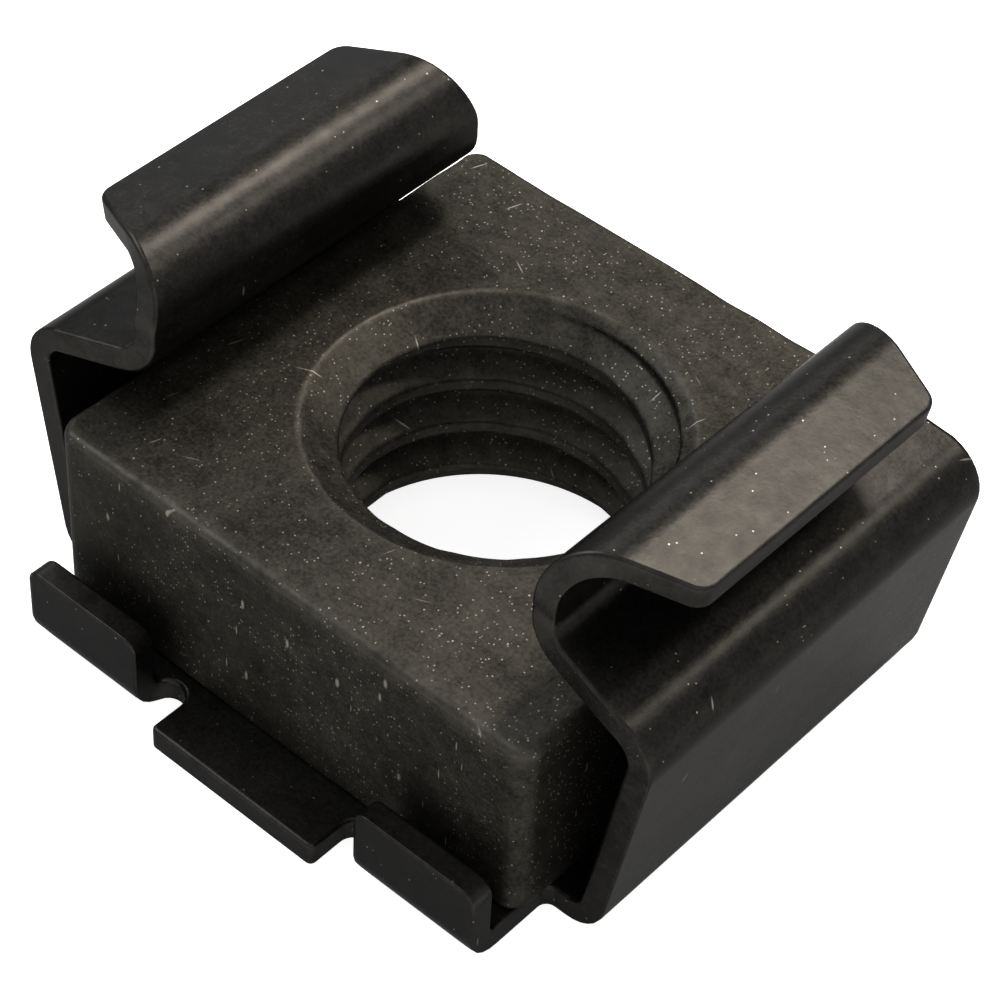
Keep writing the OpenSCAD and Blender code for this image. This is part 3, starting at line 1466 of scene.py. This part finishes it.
@dataclass
class Studio:
    """The floor, world, lamps and camera.

    Attributes:
        target: The point that the lamps face, in millimetres.
        floor_size: The side of the floor, in millimetres.
        floor_colour: The floor's own colour.
        floor_glow: How much of its own light the floor shows, so that it stays white.
        ambient: The strength of the world's even light.
        camera_place: The camera's place, in millimetres.
        camera_azimuth: The camera's direction round the object, in degrees.
        camera_elevation: The camera's height above the horizon, in degrees.
        camera_roll: The camera's roll, in degrees.
        lens: The camera's focal length, in millimetres.
        sensor: The width of the camera's sensor, in millimetres.
        clip_end: How far the camera sees, in metres.
    """

    target: Vector
    floor_size: float = 600.0
    floor_colour: tuple[float, float, float] = (0.8, 0.8, 0.8)
    floor_glow: float = 0.85
    ambient: float = 0.42
    camera_place: tuple[float, float, float] = (23.09, -28.42, 39.30)
    camera_azimuth: float = 38.925
    camera_elevation: float = 45.171
    camera_roll: float = 3.846
    lens: float = 113.88
    sensor: float = 36.0
    clip_end: float = 2.0

    def build(self) -> None:
        """Makes everything round the object."""
        self._lay_floor()
        self._light_world()
        for lamp in Lamp:
            self._hang(lamp)
        self._place_camera()
        bpy.context.scene.view_settings.view_transform = "Standard"

    @staticmethod
    def _seen(bench: Bench) -> Term:
        """Gives 1 for a ray that shows the background, and 0 for one that lights.

        Args:
            bench: The tree's bench.

        Returns:
            The share.
        """
        path = bench.node("ShaderNodeLightPath")
        seen = path.term("Is Camera Ray").highest(path.term("Is Glossy Ray"))
        return seen.highest(path.term("Is Transmission Ray"))

    def _lay_floor(self) -> None:
        """Lays the plain white floor."""
        half = self.floor_size / 2 * MM
        mesh = bpy.data.meshes.new("floor")
        corners = ((-half, -half), (half, -half), (half, half), (-half, half))
        mesh.from_pydata([(x, y, 0) for x, y in corners], [], [(0, 1, 2, 3)])
        floor = bpy.data.objects.new("floor", mesh)
        bpy.context.scene.collection.objects.link(floor)
        material = bpy.data.materials.new("white_floor")
        material.use_nodes = True
        bench = Bench(material.node_tree)
        paint = bench.node(
            "ShaderNodeBsdfDiffuse", inputs={"Color": rgba(self.floor_colour)}
        ).term("BSDF")
        strength = self._seen(bench) * self.floor_glow
        glow = bench.node(
            "ShaderNodeEmission",
            inputs={"Color": rgba((1.0, 1.0, 1.0)), "Strength": strength},
        ).term("Emission")
        both = bench.node("ShaderNodeAddShader", inputs={0: paint, 1: glow})
        both = both.term("Shader")
        bench.node("ShaderNodeOutputMaterial", inputs={"Surface": both})
        mesh.materials.append(material)
        floor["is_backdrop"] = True

    def _light_world(self) -> None:
        """Sets the white backdrop and the even light that it gives."""
        world = bpy.data.worlds.new("backdrop")
        bpy.context.scene.world = world
        world.use_nodes = True
        bench = Bench(world.node_tree)
        strength = self.ambient + self._seen(bench) * (1.0 - self.ambient)
        light = bench.node(
            "ShaderNodeBackground",
            inputs={"Color": rgba((1.0, 1.0, 1.0)), "Strength": strength},
        ).term("Background")
        bench.node("ShaderNodeOutputWorld", inputs={"Surface": light})

    def _hang(self, lamp: Lamp) -> None:
        """Hangs one soft lamp so that it faces the object.

        Args:
            lamp: The lamp.
        """
        azimuth, elevation, distance, (wide, tall), power, colour = lamp.value
        data = bpy.data.lights.new(lamp.name.lower(), "AREA")
        data.shape = "RECTANGLE"
        data.size, data.size_y = wide * MM, tall * MM
        data.energy, data.color = power, colour
        back = towards(azimuth, elevation)
        hung = bpy.data.objects.new(lamp.name.lower(), data)
        hung.location = (self.target + back * distance) * MM
        hung.rotation_mode = "QUATERNION"
        hung.rotation_quaternion = (-back).to_track_quat("-Z", "Y")
        bpy.context.scene.collection.objects.link(hung)

    def _place_camera(self) -> None:
        """Places the camera."""
        back = towards(self.camera_azimuth, self.camera_elevation)
        a = math.radians(self.camera_azimuth)
        level = Vector((math.cos(a), math.sin(a), 0.0))
        up = back.cross(level)
        roll = math.radians(self.camera_roll)
        right = level * math.cos(roll) + up * math.sin(roll)
        data = bpy.data.cameras.new("camera")
        data.lens, data.sensor_width = self.lens, self.sensor
        data.clip_start, data.clip_end = MM, self.clip_end
        camera = bpy.data.objects.new("camera", data)
        turn = Matrix((right, back.cross(right), back)).transposed()
        moved = Matrix.Translation(Vector(self.camera_place) * MM)
        camera.matrix_world = moved @ turn.to_4x4()
        bpy.context.scene.collection.objects.link(camera)
        bpy.context.scene.camera = camera


# ---------------------------------------------------------------- the making


def in_millimetres(corners: tuple[Vector, Vector]) -> tuple[Vector, Vector]:
    """Turns a box in metres into one in millimetres."""
    return corners[0] / MM, corners[1] / MM


def main() -> None:
    """Loads the frame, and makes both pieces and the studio."""
    logging.basicConfig(level=logging.INFO, format="%(name)s: %(message)s")
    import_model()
    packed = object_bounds()

    makers: list[tuple[str, Callable[[], bpy.types.Object]]] = [
        ("square nut", SquareNut(*in_millimetres(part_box("square_nut"))).build),
        ("spring cage", SpringCage().build),
    ]
    for title, make in makers:
        piece = make()
        log.info("%s: %s, %d faces", title, piece.name, len(piece.data.polygons))

    Studio(target=(packed[0] + packed[1]) / 2 / MM).build()
    log.info("studio: %d lamps", len(Lamp))


if __name__ == "__main__":
    main()
